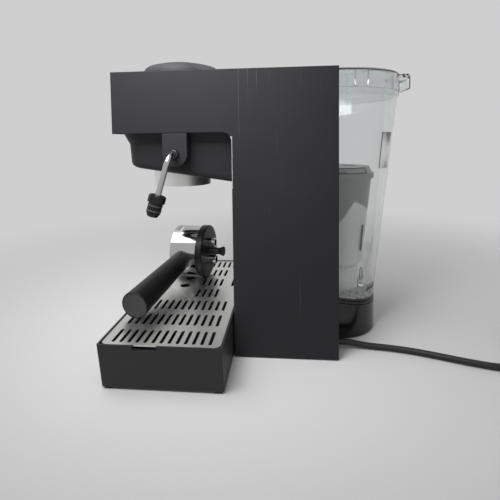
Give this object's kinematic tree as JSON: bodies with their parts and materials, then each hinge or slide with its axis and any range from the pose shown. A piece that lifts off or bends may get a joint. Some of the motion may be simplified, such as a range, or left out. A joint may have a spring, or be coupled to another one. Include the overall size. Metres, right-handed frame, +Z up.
{
  "type": "espresso machine",
  "caption": "Countertop espresso machine: column with overhanging brew head and top dial, steam wand, clear tapered rear water tank, drip tray reaching past the right side, loose portafilter.",
  "frame": {"origin": "on the worktop, on the casing's middle plane and half-way through the depth of the column", "axes": "+Z up, -Y the front with the brew head, +X the right side with the steam wand"},
  "size_m": [0.2536, 0.5341, 0.3246],
  "materials": {
    "coated_steel": "satin",
    "dark_plastic": "matte",
    "gloss_black": "gloss",
    "dial_grey": "satin",
    "steel": "brushed",
    "chrome": "polished",
    "cast_aluminium": "satin",
    "rubber": "matte",
    "copper": "satin",
    "black_plastic": "satin",
    "grey_plastic": "satin",
    "tray_plastic": "satin",
    "clear_plastic": "gloss",
    "filter_plastic": "satin",
    "coil_lacquer": "satin",
    "silicone": "satin",
    "board_green": "satin"
  },
  "bodies": {
    "casing": {"right_side_panel": "coated_steel", "left_side_panel": "coated_steel", "front_top_cover": "coated_steel", "column_front_panel": "coated_steel", "rear_cover": "dark_plastic", "base_plate": "dark_plastic", "base_screws": "steel", "brew_head_tub": "dark_plastic", "steam_boss": "dark_plastic", "group_collar": "chrome", "group_head": "cast_aluminium", "group_gasket": "rubber", "shower_screen": "steel", "screen_screw": "steel", "boiler": "cast_aluminium", "boiler_cap": "cast_aluminium", "heating_element": "steel", "thermostats": "dark_plastic", "selector_valve": "cast_aluminium", "wand_bush": "dark_plastic", "steam_pipe": "copper", "tank_base": "gloss_black", "valve_seal": "rubber", "pump_body": "dark_plastic", "pump_coil": "coil_lacquer", "pump_mounts": "rubber", "pump_clamp": "steel", "suction_hose": "silicone", "pressure_hose": "silicone", "control_board": "board_green", "cord_gland": "dark_plastic", "mains_cord": "rubber", "mains_cord_coil": "rubber", "mains_plug": "dark_plastic", "plug_pins": "copper"},
    "dial": {"dial": "dial_grey", "dial_shaft": "steel"},
    "wand": {"steam_wand": "chrome", "wand_nut": "chrome"},
    "nozzle": {"steam_nozzle": "black_plastic"},
    "tray": {"drip_tray": "tray_plastic", "tray_feet": "rubber"},
    "grid": {"drip_grid": "steel"},
    "portafilter": {"portafilter_disc": "black_plastic", "portafilter_cup": "chrome", "filter_basket": "steel", "portafilter_spouts": "chrome", "portafilter_handle": "black_plastic", "handle_cap": "grey_plastic"},
    "peg": {"valve_peg": "black_plastic"},
    "tank": {"water_tank": "clear_plastic", "tank_valve": "clear_plastic"},
    "lid": {"tank_lid": "clear_plastic"},
    "filter": {"filter_body": "filter_plastic", "filter_cap": "filter_plastic"}
  },
  "joints": [
    {"name": "dial_turn", "type": "hinge", "parent": "casing", "child": "dial", "pos_m": [0, -0.128, 0.3], "axis": [0, 0, 1], "range_deg": [-90, 90]},
    {"name": "wand_swing", "type": "hinge", "parent": "casing", "child": "wand", "pos_m": [0.0916, -0.1134, 0.2143], "axis": [1, 0, 0], "range_deg": [-60, 45]},
    {"name": "nozzle_pull", "type": "slide", "parent": "wand", "child": "nozzle", "axis": [0, -0.2924, -0.9563], "range_m": [0, 0.012]},
    {"name": "tray_slide", "type": "slide", "parent": "casing", "child": "tray", "axis": [0, -1, 0], "range_m": [0, 0.15]},
    {"name": "grid_lift", "type": "slide", "parent": "tray", "child": "grid", "axis": [0, 0, 1], "range_m": [0, 0.025]},
    {"name": "portafilter_lift", "type": "slide", "parent": "grid", "child": "portafilter", "axis": [0, 0, 1], "range_m": [0, 0.025]},
    {"name": "peg_press", "type": "slide", "parent": "portafilter", "child": "peg", "axis": [-0.1305, -0.9914, 0], "range_m": [0, 0.002], "stiffness_N_per_m": 500},
    {"name": "tank_lift", "type": "slide", "parent": "casing", "child": "tank", "axis": [0, 0, 1], "range_m": [0, 0.12]},
    {"name": "lid_lift", "type": "slide", "parent": "tank", "child": "lid", "axis": [0, 0, 1], "range_m": [0, 0.08]},
    {"name": "filter_lift", "type": "slide", "parent": "tank", "child": "filter", "axis": [0, 0, 1], "range_m": [0, 0.08]}
  ]
}
